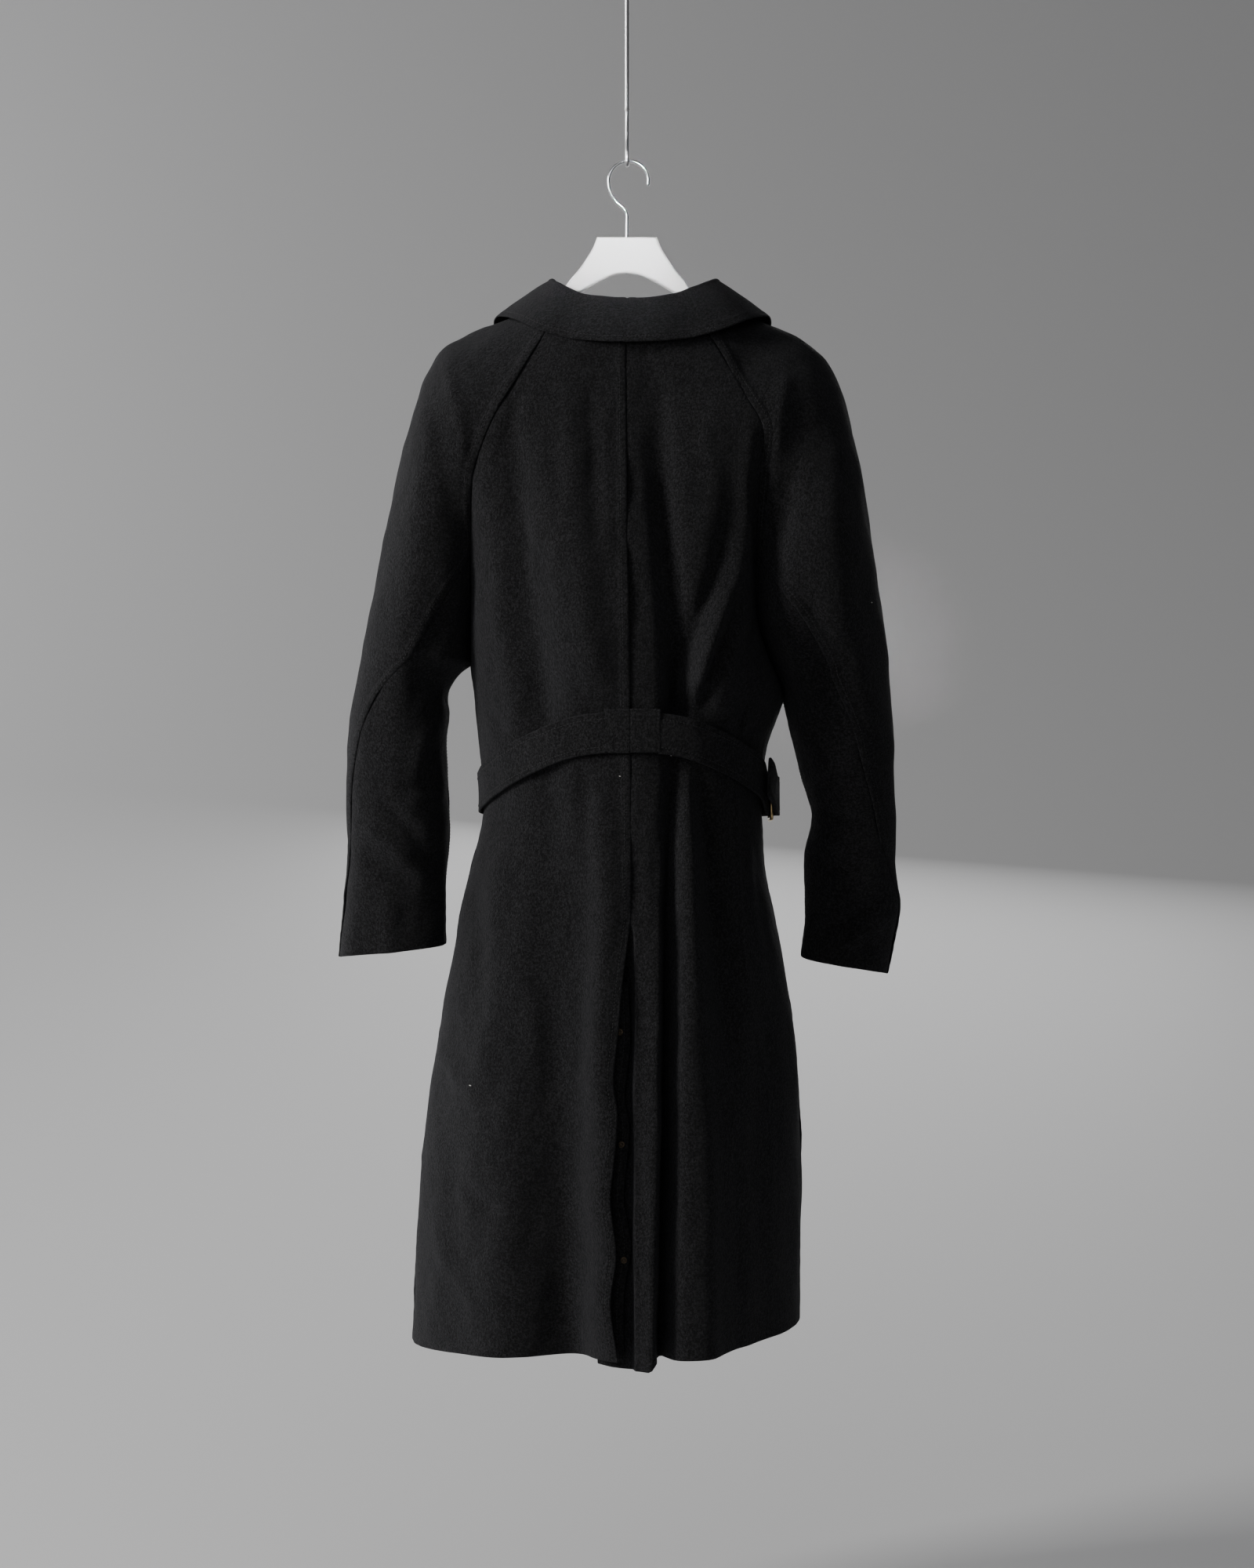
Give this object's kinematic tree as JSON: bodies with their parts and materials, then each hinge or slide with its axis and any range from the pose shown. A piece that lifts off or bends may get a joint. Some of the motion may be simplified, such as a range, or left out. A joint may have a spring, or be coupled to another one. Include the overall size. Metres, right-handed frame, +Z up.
{
  "type": "motorcycle coat on a hanger held by a hook rod",
  "caption": "Knee-length black wool motorcycle coat with raglan sleeves, sewn belt and back vent, hung hollow on a white hanger from a steel rod.",
  "frame": {"origin": "top end of the rod that holds the hanger, on the rod's centre line", "axes": "+Z up along the rod, -Y out of the coat's back, +X towards the wearer's right"},
  "size_m": [0.6031, 0.3229, 1.4562],
  "materials": {
    "wool_cloth": "napped wool",
    "brass": "aged satin",
    "button_horn": "satin",
    "hanger_white": "satin",
    "steel": "polished"
  },
  "bodies": {
    "root": {"back_left": "wool_cloth", "back_right": "wool_cloth", "vent_fly": "wool_cloth", "front_left": "wool_cloth", "front_right": "wool_cloth", "sleeve_left_upper": "wool_cloth", "sleeve_left_under": "wool_cloth", "sleeve_right_upper": "wool_cloth", "sleeve_right_under": "wool_cloth", "collar": "wool_cloth", "belt_long": "wool_cloth", "belt_short": "wool_cloth", "belt_tab": "wool_cloth", "vent_snap_1": "brass", "vent_snap_2": "brass", "vent_snap_3": "brass", "buckle_frame": "brass", "button_1": "button_horn", "button_2": "button_horn", "button_3": "button_horn", "button_4": "button_horn", "button_5": "button_horn", "hanger": "hanger_white", "hanger_hook": "steel", "rod": "steel", "rod_end": "steel"}
  },
  "joints": []
}
